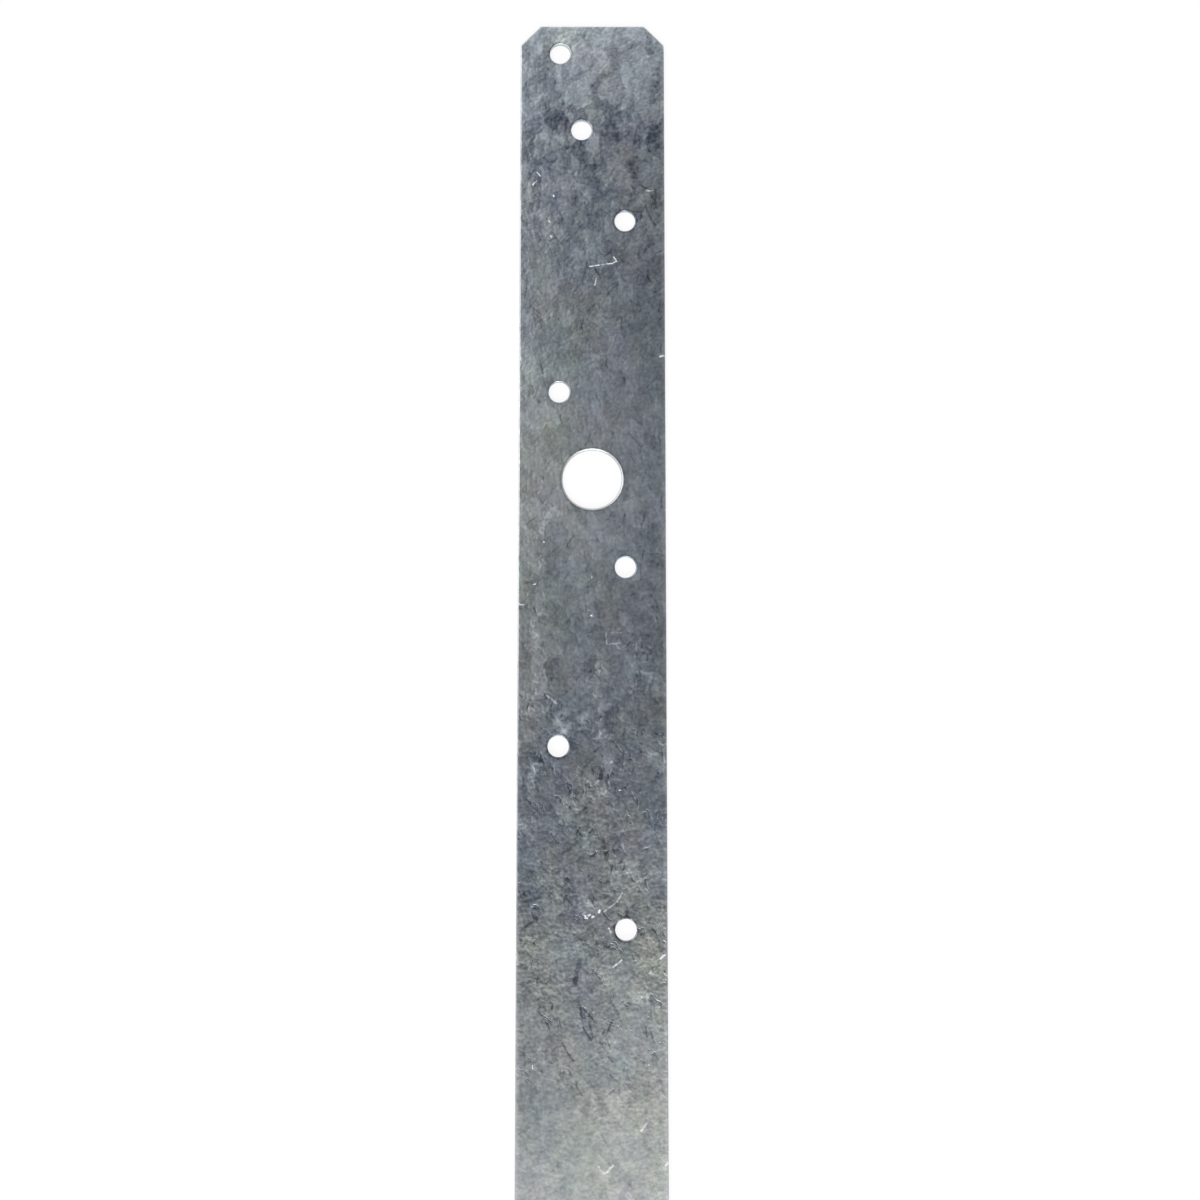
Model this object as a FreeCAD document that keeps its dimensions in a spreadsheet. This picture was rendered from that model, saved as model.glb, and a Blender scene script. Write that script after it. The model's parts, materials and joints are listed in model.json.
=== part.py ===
import FreeCAD, Part
import os
import Sketcher

# Strap tie: a flat strip of galvanised sheet steel, cropped from slit coil, that is nailed across
# two framing members to tie them in line. It is one piece of sheet, with clipped corners, two
# staggered rows of nail holes in each half, and a tooling hole in each half.
# The strap lies flat on its back face. X runs across the width, Y along the length and Z up through
# the sheet. The origin is the centre of the back face. The second half is the first half turned by
# half a turn about Z, so that either end can be nailed first.

doc = FreeCAD.newDocument("StrapTie")

# Driving sizes in millimetres
drivingSizes = (
    ("strapLength", 457.2, "overall length, 18 in"),
    ("strapWidth", 31.75, "width of the slit coil, 1-1/4 in"),
    ("sheetThickness", 1.0, "20 gauge sheet with its zinc coat"),
    ("cornerClip", 4.45, "leg of the 45 degree clip on each corner"),
    ("nailDiameter", 4.5, "punched hole for a framing nail"),
    ("rowSpacing", 14.29, "from one nail row to the other, 9/16 in"),
    ("nailPitch", 76.2, "from nail to nail along one row, 3 in"),
    ("endInset", 6.35, "from the end of the strap to the first nail, 1/4 in"),
    ("fillerInset", 23.81, "from the end of the strap to the filler nail, 15/16 in"),
    ("fillerOffset", 2.38, "from the centreline to the filler nail, 3/32 in"),
    ("toolingDiameter", 12.7, "tooling hole, 1/2 in"),
    ("edgeRoll", 0.3, "radius that the shear rolls on the front of the outline"),
    ("holeRoll", 0.2, "bevel that the punch draws on the front of each hole"),
)

sheet = doc.addObject("Spreadsheet::Sheet", "Sizes")
for row, (alias, value, meaning) in enumerate(drivingSizes, start=1):
    sheet.set(f"A{row}", meaning)
    sheet.set(f"B{row}", str(value))
    sheet.setAlias(f"B{row}", alias)
doc.recompute()

# Places along the length, measured from the middle of the strap
firstNailPlace = "Sizes.strapLength / 2 - Sizes.endInset"
secondRowPlace = "Sizes.strapLength / 2 - Sizes.endInset - Sizes.nailPitch / 2"
fillerPlace = "Sizes.strapLength / 2 - Sizes.fillerInset"
# The tooling hole lies midway between the second nail of one row and the second nail of the other.
toolingPlace = "Sizes.strapLength / 2 - Sizes.endInset - Sizes.nailPitch * 5 / 4"
# Each row holds as many nails as fit between the end and the middle of the strap.
nailsPerRow = "floor((Sizes.strapLength / 2 - Sizes.endInset - Sizes.nailPitch / 2) / Sizes.nailPitch) + 1"

strap = doc.addObject("PartDesign::Body", "Strap")
strap.Label = "strap"
tolerance = 1e-4


def originFeature(role):
    return next(item for item in strap.Origin.OriginFeatures if item.Role == role)


def newSketch(name):
    sketch = strap.newObject("Sketcher::SketchObject", name)
    sketch.AttachmentSupport = (originFeature("XY_Plane"), [""])
    sketch.MapMode = "FlatFace"
    return sketch


def bindConstraint(sketch, name, constraint, expression):
    index = sketch.addConstraint(constraint)
    sketch.renameConstraint(index, name)
    sketch.setExpression(f"Constraints.{name}", expression)


def addHole(sketch, name, across, along, diameter):
    # A circle whose centre is a bound distance across the strap and along it from the origin. The
    # sign of the first item of "across" puts the hole on the left or on the right of the centreline.
    side, offset = across
    circle = sketch.addGeometry(Part.Circle(FreeCAD.Vector(side, 1, 0), FreeCAD.Vector(0, 0, 1), 1))
    if side == 0:
        sketch.addConstraint(Sketcher.Constraint("PointOnObject", circle, 3, -2))
    else:
        ends = (circle, 3, -1, 1) if side < 0 else (-1, 1, circle, 3)
        bindConstraint(sketch, f"{name}Across", Sketcher.Constraint("DistanceX", *ends, 1), offset)
    bindConstraint(sketch, f"{name}Along", Sketcher.Constraint("DistanceY", -1, 1, circle, 3, 1), along)
    bindConstraint(sketch, f"{name}Size", Sketcher.Constraint("Diameter", circle, 2), diameter)


def punch(name, sketch):
    # A pocket through the whole sheet, from the back face that the sketch lies on.
    doc.recompute()
    before = strap.Tip.Shape.Volume
    pocket = strap.newObject("PartDesign::Pocket", name)
    pocket.Profile = sketch
    pocket.Type = "ThroughAll"
    pocket.Reversed = True
    doc.recompute()
    if pocket.Shape.Volume >= before - tolerance:
        raise RuntimeError(f"{name} cuts nothing")
    return pocket


def edgesWhere(feature, test):
    return [f"Edge{number}" for number, edge in enumerate(feature.Shape.Edges, start=1) if test(edge)]


def isUpright(edge):
    box = edge.BoundBox
    return box.XLength < tolerance and box.YLength < tolerance


def isOnFront(edge):
    return abs(edge.BoundBox.ZMin - sheet.sheetThickness) < tolerance


def isRound(edge):
    return isinstance(edge.Curve, Part.Circle)


# Blank: a rectangle centred on the origin, padded to the thickness of the sheet
blankSketch = newSketch("BlankSketch")
corners = [FreeCAD.Vector(x, y, 0) for x, y in ((-1, -1), (1, -1), (1, 1), (-1, 1))]
for number, corner in enumerate(corners):
    blankSketch.addGeometry(Part.LineSegment(corner, corners[(number + 1) % 4]))
for number in range(4):
    blankSketch.addConstraint(Sketcher.Constraint("Coincident", number, 2, (number + 1) % 4, 1))
    direction = "Horizontal" if number % 2 == 0 else "Vertical"
    blankSketch.addConstraint(Sketcher.Constraint(direction, number))
blankSketch.addConstraint(Sketcher.Constraint("Symmetric", 0, 1, 1, 2, -1, 1))
bindConstraint(blankSketch, "width", Sketcher.Constraint("DistanceX", 0, 1, 0, 2, 2), "Sizes.strapWidth")
bindConstraint(blankSketch, "length", Sketcher.Constraint("DistanceY", 1, 1, 1, 2, 2), "Sizes.strapLength")
blank = strap.newObject("PartDesign::Pad", "Blank")
blank.Profile = blankSketch
blank.setExpression("Length", "Sizes.sheetThickness")
doc.recompute()

# Corners clipped at 45 degrees where the strap is cropped from the coil
clippedCorners = strap.newObject("PartDesign::Chamfer", "ClippedCorners")
clippedCorners.Base = (blank, edgesWhere(blank, isUpright))
clippedCorners.setExpression("Size", "Sizes.cornerClip")
doc.recompute()

# Nail rows: the first nail of each row, stepped along the row and turned into the other half
nailSketch = newSketch("NailSketch")
rowOffset = "Sizes.rowSpacing / 2"
addHole(nailSketch, "leftRow", (-1, rowOffset), firstNailPlace, "Sizes.nailDiameter")
addHole(nailSketch, "rightRow", (1, rowOffset), secondRowPlace, "Sizes.nailDiameter")
firstNails = punch("FirstNails", nailSketch)
nailRows = strap.newObject("PartDesign::MultiTransform", "NailRows")
nailRows.Originals = [firstNails]
alongRow = doc.addObject("PartDesign::LinearPattern", "AlongRow")
alongRow.Direction = (nailSketch, ["V_Axis"])
alongRow.Reversed = True
alongRow.Mode = "Spacing"
alongRow.setExpression("Offset", "Sizes.nailPitch")
alongRow.setExpression("Occurrences", nailsPerRow)
strap.addObject(alongRow)
otherHalf = doc.addObject("PartDesign::PolarPattern", "OtherHalf")
otherHalf.Axis = (nailSketch, ["N_Axis"])
otherHalf.Angle = 360
otherHalf.Occurrences = 2
strap.addObject(otherHalf)
nailRows.Transformations = [alongRow, otherHalf]
strap.Tip = nailRows
doc.recompute()

# Filler nail beside the first pair, and the tooling hole on the centreline, in both halves
singleSketch = newSketch("SingleSketch")
addHole(singleSketch, "filler", (-1, "Sizes.fillerOffset"), fillerPlace, "Sizes.nailDiameter")
addHole(singleSketch, "tooling", (0, None), toolingPlace, "Sizes.toolingDiameter")
singleHoles = punch("SingleHoles", singleSketch)
singlePairs = strap.newObject("PartDesign::PolarPattern", "SinglePairs")
singlePairs.Originals = [singleHoles]
singlePairs.Axis = (singleSketch, ["N_Axis"])
singlePairs.Angle = 360
singlePairs.Occurrences = 2
strap.Tip = singlePairs
doc.recompute()

# Drawn edges: the tool draws the front face down at every cut and leaves the back sharp. The punch
# leaves a small bevel round each hole, and the shear a rounded edge along the outline.
rolledHoles = strap.newObject("PartDesign::Chamfer", "RolledHoles")
rolledHoles.Base = (singlePairs, edgesWhere(singlePairs, lambda edge: isOnFront(edge) and isRound(edge)))
rolledHoles.setExpression("Size", "Sizes.holeRoll")
doc.recompute()
rolledOutline = strap.newObject("PartDesign::Fillet", "RolledOutline")
rolledOutline.Base = (rolledHoles, edgesWhere(rolledHoles, lambda edge: isOnFront(edge) and not isRound(edge)))
rolledOutline.setExpression("Radius", "Sizes.edgeRoll")
strap.Tip = rolledOutline
doc.recompute()

failed = [item.Name for item in doc.Objects if {"Invalid", "Error"} & set(item.State)]
if failed:
    raise RuntimeError(f"features failed: {failed}")
solid = strap.Shape
if solid.isNull() or not solid.isValid() or len(solid.Solids) != 1:
    raise RuntimeError("the strap is not one valid solid")

os.makedirs("parts", exist_ok=True)
solid.exportStep(f"parts/{strap.Label}.step")
box = solid.BoundBox
print(f"{strap.Label}: {box.XLength:.2f} x {box.YLength:.2f} x {box.ZLength:.2f} mm, {solid.Volume:.1f} mm3")
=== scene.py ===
import bpy
import functools
import json
import math
import numpy as np
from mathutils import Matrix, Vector


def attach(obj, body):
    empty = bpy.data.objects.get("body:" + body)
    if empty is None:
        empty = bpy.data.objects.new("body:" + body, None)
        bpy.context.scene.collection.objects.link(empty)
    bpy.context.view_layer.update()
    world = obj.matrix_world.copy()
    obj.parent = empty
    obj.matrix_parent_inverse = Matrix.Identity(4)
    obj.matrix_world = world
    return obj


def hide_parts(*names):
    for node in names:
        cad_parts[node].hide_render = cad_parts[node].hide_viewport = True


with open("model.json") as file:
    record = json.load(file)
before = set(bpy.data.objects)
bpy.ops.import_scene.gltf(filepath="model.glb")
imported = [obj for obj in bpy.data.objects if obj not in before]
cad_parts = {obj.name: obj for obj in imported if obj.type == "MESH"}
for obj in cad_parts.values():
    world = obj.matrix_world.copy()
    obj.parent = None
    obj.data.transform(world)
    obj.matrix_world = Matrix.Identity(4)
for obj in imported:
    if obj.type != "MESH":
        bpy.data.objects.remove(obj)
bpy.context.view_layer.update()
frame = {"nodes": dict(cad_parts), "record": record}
mm = 0.001   # shapes and patterns are worked out in millimetres, meshes are stored in metres
roundOff = 0.001   # in mm, places closer than this are the same place
fullShare = 0.3    # share of a mark's reach over which it keeps its full strength

# sizes of the strap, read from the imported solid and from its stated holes
solidMesh = frame["nodes"]["strap"].data
solidPoints = np.zeros(3 * len(solidMesh.vertices))
solidMesh.vertices.foreach_get("co", solidPoints)
solidPoints = solidPoints.reshape(-1, 3) / mm
halfWidth, halfLength, thickness = solidPoints.max(axis=0)
endPoints = solidPoints[solidPoints[:, 1] > halfLength - roundOff]
cornerClip = halfWidth - endPoints[:, 0].max()
bores = [mount for mount in frame["record"]["mounts"] if mount["kind"] == "bore"]
holes = sorted((mount["pos_m"][1] / mm, mount["pos_m"][0] / mm, mount["dims"]["r_mm"]) for mount in bores)
print(f"strap {2 * halfWidth:.2f} x {2 * halfLength:.2f} x {thickness:.2f} mm, {len(holes)} holes")


# strap sheet: quad grids between the holes, a sleeve of rings through each hole, and a rim round the
# outline; lengths in mm
strapSheet = {
    "columns": 36,         # quads across the strap
    "rowLength": 0.9,      # length of a quad along the strap
    "holeReach": 8.0,      # a hole's rings reach this far along the strap from its rim
    "frontRings": 9,
    "backRings": 3,
    "ringGrowth": 1.8,     # rings crowd towards the hole by this power
    "flatLip": 0.04,       # flat step that keeps the face's shading off the rolled edge
    "edgeRoll": (0.28, 0.22),   # width and depth that the shear draws the outline down
    "nailRoll": (0.30, 0.22),   # the same for the punch of a nail hole
    "toolingRoll": (0.55, 0.36),   # and for the larger punch of a tooling hole
    "largeRadius": 4.0,    # a hole with a greater radius is a tooling hole
    "rollSteps": 5,
    "burnish": 0.55,       # share of the thickness, from the front, down to the torn part of the wall
    "tear": 0.05,          # how far the torn part slopes back
    "seed": 7,
    "ripple": 0.006,       # height of the short waves that rolling leaves in the sheet
    "rippleCount": 14,
    "rippleLength": (9.0, 34.0),
    "edgeWander": 0.035,   # how far the sheared sides wander inwards
    "edgeReach": 1.5,      # how far in from the side the wander is felt
    "edgeCount": 8,
    "edgeLength": (6.0, 60.0),
    "sharpAngle": 40.0,    # degrees, an edge that turns by more is drawn sharp
}


def holeRoll(sheet, radius):
    return sheet["toolingRoll" if radius > sheet["largeRadius"] else "nailRoll"]


def rollProfile(width, depth, steps):
    # quarter ellipse from the flat face to the upright wall:
    # out = width * sin(a), drop = depth * (1 - cos(a))
    angle = np.linspace(0, math.pi / 2, steps + 1)
    return np.column_stack((width * np.sin(angle), depth * (1 - np.cos(angle))))


def spaced(start, end, step):
    # evenly spaced values from start to end, about one step apart
    return np.linspace(start, end, max(1, round(abs(end - start) / step)) + 1)


def lift(points, height):
    # flat points of any grid shape, given one height or one height for each row
    missing = points.ndim - 1 - np.ndim(height)
    heights = np.reshape(height, np.shape(height) + (1,) * missing)
    heights = np.broadcast_to(heights, points.shape[:-1])
    return np.concatenate((points, heights[..., None]), axis=-1)


def cellsAlongStrap(sheet):
    # each hole owns a stretch of the strap, cut midway to its neighbours or one reach past its rim
    cells = []
    places = [hole[0] for hole in holes]
    below = -halfLength
    for number, (along, across, radius) in enumerate(holes):
        reach = radius + sheet["holeReach"]
        first, last = number == 0, number == len(holes) - 1
        start = -halfLength if first else max((places[number - 1] + along) / 2, along - reach)
        end = halfLength if last else min((places[number + 1] + along) / 2, along + reach)
        if start > below + roundOff:
            cells.append((below, start, None))
        cells.append((start, end, (across, along, radius)))
        below = end
    return cells


def coreOutline(sheet):
    # the outline moved in by the rolled edge and its lip; the 45 degree clip gets shorter by
    # (2 - sqrt 2) times that inset
    inset = sheet["edgeRoll"][0] + sheet["flatLip"]
    return halfWidth - inset, halfLength - inset, cornerClip - (2 - math.sqrt(2)) * inset, inset


def endLoop(sheet, start):
    # anticlockwise loop of the +Y end cell: cut line, right side, clip, end, clip, left side
    wide, long, clip, inset = coreOutline(sheet)
    step = sheet["rowLength"]
    cut = np.linspace(-wide, wide, sheet["columns"] + 1)
    side = spaced(start, long - clip, step)
    slant = spaced(0, clip, step)
    end = spaced(wide - clip, clip - wide, step)
    parts = (
        np.column_stack((cut, np.full(len(cut), start))),
        np.column_stack((np.full(len(side), wide), side)),
        np.column_stack((wide - slant, long - clip + slant)),
        np.column_stack((end, np.full(len(end), long))),
        np.column_stack((clip - wide - slant, long - slant)),
        np.column_stack((np.full(len(side), -wide), side[::-1])),
    )
    return np.concatenate([part[:-1] for part in parts])


def middleLoop(sheet, start, end):
    # anticlockwise rectangle from cut line to cut line
    wide = coreOutline(sheet)[0]
    cut = np.linspace(-wide, wide, sheet["columns"] + 1)
    side = spaced(start, end, sheet["rowLength"])
    parts = (
        np.column_stack((cut, np.full(len(cut), start))),
        np.column_stack((np.full(len(side), wide), side)),
        np.column_stack((cut[::-1], np.full(len(cut), end))),
        np.column_stack((np.full(len(side), -wide), side[::-1])),
    )
    return np.concatenate([part[:-1] for part in parts])


def holeSleeve(sheet, loop, centre, radius):
    # rings on straight rays from the cell's loop to the hole, in at the front, down the wall and out at
    # the back: point = centre + ray * (rim + (reach - rim) * share), with share falling from 1 to 0 and
    # then rising again
    ray = loop - centre
    reach = np.linalg.norm(ray, axis=1)
    ray = ray / reach[:, None]
    width, depth = holeRoll(sheet, radius)
    roll = rollProfile(width, depth, sheet["rollSteps"])
    frontRim = radius + width + sheet["flatLip"]
    backRim = radius + sheet["tear"]
    frontShare = np.linspace(1, 0, sheet["frontRings"] + 1) ** sheet["ringGrowth"]
    backShare = np.linspace(0, 1, sheet["backRings"] + 1) ** sheet["ringGrowth"]
    front = frontRim + (reach - frontRim) * frontShare[:, None]
    rolled = np.broadcast_to((radius + width - roll[:, 0])[:, None], (len(roll), len(ray)))
    wall = np.full((1, len(ray)), radius)
    back = backRim + (reach - backRim) * backShare[:, None]
    distance = np.concatenate((front, rolled, wall, back))
    height = np.concatenate((np.full(len(front), thickness), thickness - roll[:, 1],
                             [thickness * (1 - sheet["burnish"])], np.zeros(len(back))))
    # the large punch wipes most of the roll bare
    bareSteps = sheet["rollSteps"] - 1 if radius > sheet["largeRadius"] else 0
    firstCut = len(front) + len(rolled) - 1 - bareSteps
    points = lift(centre + ray * distance[..., None], height)
    return points, (firstCut, firstCut + bareSteps + 2)


def rimStrip(sheet, sideRows):
    # the rolled and sheared section carried anticlockwise round the outline, from the back face to the
    # front face: point = core outline + outward mitre * out, with the mitre 1 wide on each straight and
    # splitting each 45 degree turn in half
    wide, long, clip, inset = coreOutline(sheet)
    step = sheet["rowLength"]
    slant = spaced(0, clip, step)
    end = spaced(wide - clip, clip - wide, step)
    corner = math.tan(math.radians(22.5))
    side = np.column_stack((np.full(len(sideRows), wide), sideRows))
    sideOut = np.tile((1.0, 0.0), (len(side), 1))
    sideOut[[0, -1]] = ((1, -corner), (1, corner))
    clipRow = np.column_stack((wide - slant, long - clip + slant))[1:-1]
    clipOut = np.tile((math.sqrt(0.5), math.sqrt(0.5)), (len(clipRow), 1))
    endRow = np.column_stack((end, np.full(len(end), long)))
    endOut = np.tile((0.0, 1.0), (len(end), 1))
    endOut[[0, -1]] = ((corner, 1), (-corner, 1))
    otherClip = np.column_stack((clip - wide - slant, long - slant))[1:-1]
    half = np.concatenate((side, clipRow, endRow, otherClip))
    halfOut = np.concatenate((sideOut, clipOut, endOut, clipOut * (-1, 1)))
    path = np.concatenate((half, -half))
    outward = np.concatenate((halfOut, -halfOut))
    width, depth = sheet["edgeRoll"]
    roll = rollProfile(width, depth, sheet["rollSteps"])[::-1]
    tornOut = inset - sheet["tear"]
    out = np.concatenate(([0, tornOut, inset], sheet["flatLip"] + roll[:, 0], [0]))
    tornTop = thickness * (1 - sheet["burnish"])
    height = np.concatenate(([0, 0, tornTop], thickness - roll[:, 1], [thickness]))
    points = lift(path + outward * out[:, None, None], height)
    return points, (1, 3)


def gridFaces(rows, columns, closed):
    # corner numbers of the quads of a grid, row by row; a closed grid joins its last column to its first
    across = columns if closed else columns - 1
    row, column = np.meshgrid(np.arange(rows - 1), np.arange(across), indexing="ij")
    after = (column + 1) % columns
    corners = np.stack((row * columns + column, row * columns + after,
                        (row + 1) * columns + after, (row + 1) * columns + column), axis=-1)
    return corners.reshape(-1, 4), np.repeat(np.arange(rows - 1), across)


def buildStrapSheet(sheet):
    wide = coreOutline(sheet)[0]
    across = np.linspace(-wide, wide, sheet["columns"] + 1)
    patches = []       # points, closed or open, rows that are cut edge
    sideRows = []
    for start, end, hole in cellsAlongStrap(sheet):
        atBottom, atTop = start <= roundOff - halfLength, end >= halfLength - roundOff
        if hole is None:
            rows = spaced(start, end, sheet["rowLength"])
            flat = np.stack(np.meshgrid(across, rows), axis=-1)
            patches.append((lift(flat, thickness), False, None))
            patches.append((lift(flat[:, ::-1], 0.0), False, None))
            sideRows.append(rows)
            continue
        centre, radius = np.array(hole[:2]), hole[2]
        if atTop:
            loop = endLoop(sheet, start)
        elif atBottom:
            loop = -endLoop(sheet, -end)
        else:
            loop = middleLoop(sheet, start, end)
        points, cut = holeSleeve(sheet, loop, centre, radius)
        patches.append((points, True, cut))
        rightSide = loop[np.abs(loop[:, 0] - wide) < roundOff, 1]
        sideRows.append(np.sort(rightSide))
    points, cut = rimStrip(sheet, np.unique(np.round(np.concatenate(sideRows), 9)))
    patches.append((points, True, cut))
    return patches


def weldPatches(patches):
    # all grids in one list of points; points closer than a millionth of a millimetre become one
    allPoints, allFaces, allCut, count = [], [], [], 0
    for points, closed, cut in patches:
        rows, columns = points.shape[:2]
        faces, faceRow = gridFaces(rows, columns, closed)
        allPoints.append(points.reshape(-1, 3))
        allFaces.append(faces + count)
        firstCut, endCut = cut or (0, 0)
        allCut.append((faceRow >= firstCut) & (faceRow < endCut))
        count += rows * columns
    points = np.concatenate(allPoints)
    _, first, number = np.unique(np.round(points, 6), axis=0, return_index=True, return_inverse=True)
    return points[first], number.reshape(-1)[np.concatenate(allFaces)], np.concatenate(allCut)


def wanderAndRipple(sheet, points):
    # the front ripples by a sum of sines in random directions, and no crest stands above the solid's front;
    # near the sides the sheet wanders inwards by a slower sum of sines along the edge
    random = np.random.default_rng(sheet["seed"])
    x, y, z = points.T
    count = sheet["rippleCount"]
    direction = random.uniform(0, math.pi, count)
    wave = 2 * math.pi / random.uniform(*sheet["rippleLength"], count)
    phase = random.uniform(0, 2 * math.pi, count)
    sines = np.sin(np.outer(x, np.cos(direction) * wave) + np.outer(y, np.sin(direction) * wave) + phase)
    ripple = sheet["ripple"] * sines.sum(axis=1) / math.sqrt(count)
    edgeCount, edgeReach = sheet["edgeCount"], sheet["edgeReach"]
    edgeWave = 2 * math.pi / random.uniform(*sheet["edgeLength"], edgeCount)
    edgePhase = random.uniform(0, 2 * math.pi, (2, edgeCount))
    onRight = (x > 0).astype(int)
    edge = np.sin(y[:, None] * edgeWave + edgePhase[onRight]).sum(axis=1) / edgeCount
    nearSide = np.clip((np.abs(x) - halfWidth + edgeReach) / edgeReach, 0, 1) ** 2
    moved = points.copy()
    moved[:, 0] -= np.sign(x) * nearSide * sheet["edgeWander"] * (0.5 + 0.5 * edge)
    moved[:, 2] += (ripple - ripple.max()) * np.clip(z / thickness, 0, 1)
    return moved


def wearDistance(points):
    # distance in mm from the outline: the least of the distances to the sides, the ends and the clips
    x, y = np.abs(points[:, 0]), np.abs(points[:, 1])
    toClip = (halfWidth + halfLength - cornerClip - x - y) * math.sqrt(0.5)
    return np.minimum.reduce((halfWidth - x, halfLength - y, toClip))


def grimeDistance(points):
    # distance in mm from where the nearest hole's rolled edge starts on the face: distance from the
    # hole's middle less its radius and the width of its roll
    along, across, radius = np.array(holes).T
    rolled = radius + np.array([holeRoll(strapSheet, size)[0] for size in radius])
    return (np.hypot(points[:, :1] - across, points[:, 1:2] - along) - rolled).min(axis=1)


def makePiece(name, sheet, points, faces, faceMaterial, materials):
    mesh = bpy.data.meshes.new(name)
    mesh.from_pydata((points * mm).tolist(), [], faces.tolist())
    for distance in (wearDistance, grimeDistance):
        attribute = mesh.attributes.new(distance.__name__, "FLOAT", "POINT")
        attribute.data.foreach_set("value", distance(points))
    mesh.polygons.foreach_set("use_smooth", np.ones(len(faces), bool))
    for material in materials:
        mesh.materials.append(material)
    mesh.polygons.foreach_set("material_index", faceMaterial.astype(np.int32))
    mesh.set_sharp_from_angle(angle=math.radians(sheet["sharpAngle"]))
    mesh.validate()
    piece = bpy.data.objects.new(name, mesh)
    bpy.context.scene.collection.objects.link(piece)
    return piece


def linearColour(hexColour):
    # sRGB hex to linear: c / 12.92 below 0.04045, otherwise ((c + 0.055) / 1.055) ^ 2.4
    channels = [int(hexColour[i:i + 2], 16) / 255 for i in (0, 2, 4)]
    return [c / 12.92 if c <= 0.04045 else ((c + 0.055) / 1.055) ** 2.4 for c in channels] + [1.0]


def addNode(tree, kind, inputs=None, **settings):
    # one node: settings go on the node itself; an input is a value, a socket, or a node, whose first
    # output is linked
    node = tree.nodes.new(kind)
    for name, value in settings.items():
        setattr(node, name, value)
    for name, value in (inputs or {}).items():
        if isinstance(value, bpy.types.Node):
            value = value.outputs[0]
        if isinstance(value, bpy.types.NodeSocket):
            tree.links.new(value, node.inputs[name])
        else:
            node.inputs[name].default_value = value
    return node


def newMaterial(name):
    material = bpy.data.materials.new(name)
    material.use_nodes = True
    material.node_tree.nodes.clear()
    return material, functools.partial(addNode, material.node_tree)


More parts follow.
